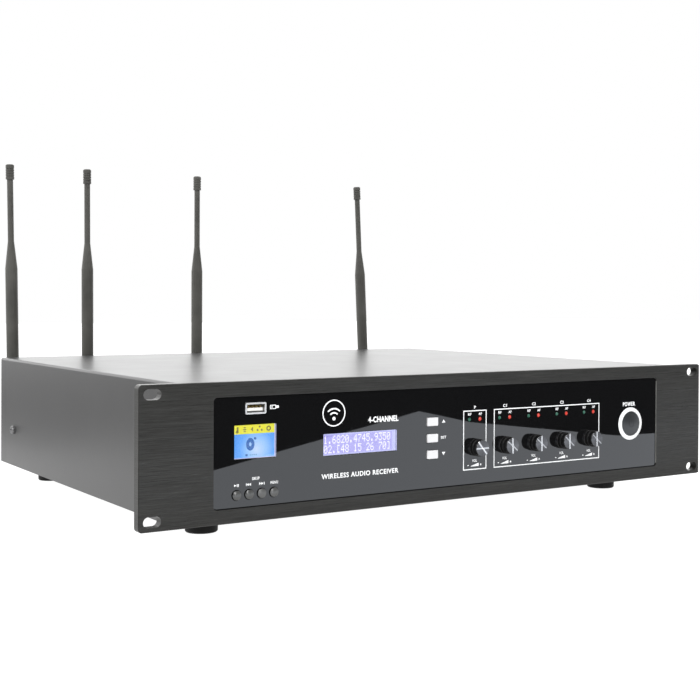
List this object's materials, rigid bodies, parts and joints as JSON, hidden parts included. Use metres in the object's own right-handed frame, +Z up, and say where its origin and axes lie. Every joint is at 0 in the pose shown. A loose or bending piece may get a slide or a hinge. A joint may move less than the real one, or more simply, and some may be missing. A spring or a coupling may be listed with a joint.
{
  "type": "wireless receiver unit",
  "caption": "Rack-mount wireless microphone receiver: black front panel with displays, volume knobs, keys and power switch, steel case, feet and tilting whip antennas.",
  "frame": {"origin": "on the plane under the feet, below the middle of the whole box", "axes": "+X to the right seen from the front, +Y to the back, +Z up; the front panel faces -Y"},
  "size_m": [0.4826, 0.4006, 0.268],
  "materials": {
    "panel": "brushed, black anodised",
    "film": "gloss",
    "lens": "clear",
    "screen": "backlit",
    "lcd": "backlit",
    "usb_metal": "bright plated",
    "tongue_white": "satin",
    "black_plastic": "satin",
    "key_grey": "satin",
    "key_dark": "satin",
    "key_white": "satin",
    "ring_white": "satin",
    "led_green": "tinted clear",
    "led_red": "tinted clear",
    "knob_black": "satin",
    "spun_metal": "spun",
    "steel": "plated",
    "board": "solder mask",
    "case_paint": "satin powder coat",
    "rubber": "matt",
    "screw_black": "blackened",
    "brass": "plated",
    "antenna_rubber": "satin"
  },
  "bodies": {
    "case": {"front_panel": "panel", "front_overlay": "film", "display_windows": "lens", "screen_module": "screen", "lcd_module": "lcd", "usb_shell": "usb_metal", "usb_tongue": "tongue_white", "button_switches": "black_plastic", "power_ring": "ring_white", "power_switch": "black_plastic", "green_leds": "led_green", "red_leds": "led_red", "volume_pots": "steel", "front_board": "board", "chassis_tray": "case_paint", "top_cover": "case_paint", "rear_panel": "case_paint", "side_brackets": "case_paint", "feet": "rubber", "case_screws": "screw_black", "main_board": "board", "board_standoffs": "brass", "receiver_modules": "steel", "power_supply": "steel", "power_inlet": "black_plastic", "output_sockets": "black_plastic", "antenna_sockets": "brass", "antenna_nuts": "screw_black"},
    "player_key_1": {"player_button_1": "key_grey"},
    "player_key_2": {"player_button_2": "key_grey"},
    "player_key_3": {"player_button_3": "key_grey"},
    "player_key_4": {"player_button_4": "key_grey"},
    "up_key": {"up_button": "key_white"},
    "set_key": {"set_button": "key_white"},
    "down_key": {"down_button": "key_white"},
    "power_key": {"power_button": "key_dark"},
    "volume_master": {"knob_master": "knob_black", "knob_cap_master": "spun_metal", "knob_shaft_master": "steel"},
    "volume_1": {"knob_1": "knob_black", "knob_cap_1": "spun_metal", "knob_shaft_1": "steel"},
    "volume_2": {"knob_2": "knob_black", "knob_cap_2": "spun_metal", "knob_shaft_2": "steel"},
    "volume_3": {"knob_3": "knob_black", "knob_cap_3": "spun_metal", "knob_shaft_3": "steel"},
    "volume_4": {"knob_4": "knob_black", "knob_cap_4": "spun_metal", "knob_shaft_4": "steel"},
    "swivel_1": {"antenna_elbow_1": "black_plastic"},
    "antenna_1": {"antenna_whip_1": "antenna_rubber"},
    "swivel_2": {"antenna_elbow_2": "black_plastic"},
    "antenna_2": {"antenna_whip_2": "antenna_rubber"},
    "swivel_3": {"antenna_elbow_3": "black_plastic"},
    "antenna_3": {"antenna_whip_3": "antenna_rubber"},
    "swivel_4": {"antenna_elbow_4": "black_plastic"},
    "antenna_4": {"antenna_whip_4": "antenna_rubber"}
  },
  "joints": [
    {"name": "player_key_1_press", "type": "slide", "parent": "case", "child": "player_key_1", "axis": [0, 1, 0], "range_m": [0, 0.001], "stiffness_N_per_m": 300, "springref_m": -0.001},
    {"name": "player_key_2_press", "type": "slide", "parent": "case", "child": "player_key_2", "axis": [0, 1, 0], "range_m": [0, 0.001], "stiffness_N_per_m": 300, "springref_m": -0.001},
    {"name": "player_key_3_press", "type": "slide", "parent": "case", "child": "player_key_3", "axis": [0, 1, 0], "range_m": [0, 0.001], "stiffness_N_per_m": 300, "springref_m": -0.001},
    {"name": "player_key_4_press", "type": "slide", "parent": "case", "child": "player_key_4", "axis": [0, 1, 0], "range_m": [0, 0.001], "stiffness_N_per_m": 300, "springref_m": -0.001},
    {"name": "up_key_press", "type": "slide", "parent": "case", "child": "up_key", "axis": [0, 1, 0], "range_m": [0, 0.001], "stiffness_N_per_m": 300, "springref_m": -0.001},
    {"name": "set_key_press", "type": "slide", "parent": "case", "child": "set_key", "axis": [0, 1, 0], "range_m": [0, 0.001], "stiffness_N_per_m": 300, "springref_m": -0.001},
    {"name": "down_key_press", "type": "slide", "parent": "case", "child": "down_key", "axis": [0, 1, 0], "range_m": [0, 0.001], "stiffness_N_per_m": 300, "springref_m": -0.001},
    {"name": "power_key_press", "type": "slide", "parent": "case", "child": "power_key", "axis": [0, 1, 0], "range_m": [0, 0.002], "stiffness_N_per_m": 400, "springref_m": -0.001},
    {"name": "volume_master_turn", "type": "hinge", "parent": "case", "child": "volume_master", "pos_m": [0.0124, -0.1929, 0.0475], "axis": [0, 1, 0], "range_deg": [-150, 150]},
    {"name": "volume_1_turn", "type": "hinge", "parent": "case", "child": "volume_1", "pos_m": [0.0397, -0.1929, 0.0475], "axis": [0, 1, 0], "range_deg": [-150, 150]},
    {"name": "volume_2_turn", "type": "hinge", "parent": "case", "child": "volume_2", "pos_m": [0.067, -0.1929, 0.0475], "axis": [0, 1, 0], "range_deg": [-150, 150]},
    {"name": "volume_3_turn", "type": "hinge", "parent": "case", "child": "volume_3", "pos_m": [0.0943, -0.1929, 0.0475], "axis": [0, 1, 0], "range_deg": [-150, 150]},
    {"name": "volume_4_turn", "type": "hinge", "parent": "case", "child": "volume_4", "pos_m": [0.1216, -0.1929, 0.0475], "axis": [0, 1, 0], "range_deg": [-150, 150]},
    {"name": "antenna_1_swivel", "type": "hinge", "parent": "case", "child": "swivel_1", "pos_m": [-0.1972, 0.1951, 0.0643], "axis": [0, 1, 0], "range_deg": [-90, 16]},
    {"name": "antenna_1_tilt", "type": "hinge", "parent": "swivel_1", "child": "antenna_1", "pos_m": [-0.1972, 0.1951, 0.0643], "axis": [-0.9998, 0, -0.0175], "range_deg": [0, 90]},
    {"name": "antenna_2_swivel", "type": "hinge", "parent": "case", "child": "swivel_2", "pos_m": [-0.1295, 0.1951, 0.0643], "axis": [0, 1, 0], "range_deg": [-16, 24]},
    {"name": "antenna_2_tilt", "type": "hinge", "parent": "swivel_2", "child": "antenna_2", "pos_m": [-0.1295, 0.1951, 0.0643], "axis": [-1, 0, -0.0052], "range_deg": [0, 90]},
    {"name": "antenna_3_swivel", "type": "hinge", "parent": "case", "child": "swivel_3", "pos_m": [-0.0214, 0.1951, 0.0643], "axis": [0, 1, 0], "range_deg": [-24, 60]},
    {"name": "antenna_3_tilt", "type": "hinge", "parent": "swivel_3", "child": "antenna_3", "pos_m": [-0.0214, 0.1951, 0.0643], "axis": [-1, 0, 0], "range_deg": [0, 90]},
    {"name": "antenna_4_swivel", "type": "hinge", "parent": "case", "child": "swivel_4", "pos_m": [0.1697, 0.1951, 0.0643], "axis": [0, 1, 0], "range_deg": [-60, 90]},
    {"name": "antenna_4_tilt", "type": "hinge", "parent": "swivel_4", "child": "antenna_4", "pos_m": [0.1697, 0.1951, 0.0643], "axis": [-0.9988, 0, -0.0488], "range_deg": [0, 90]}
  ]
}
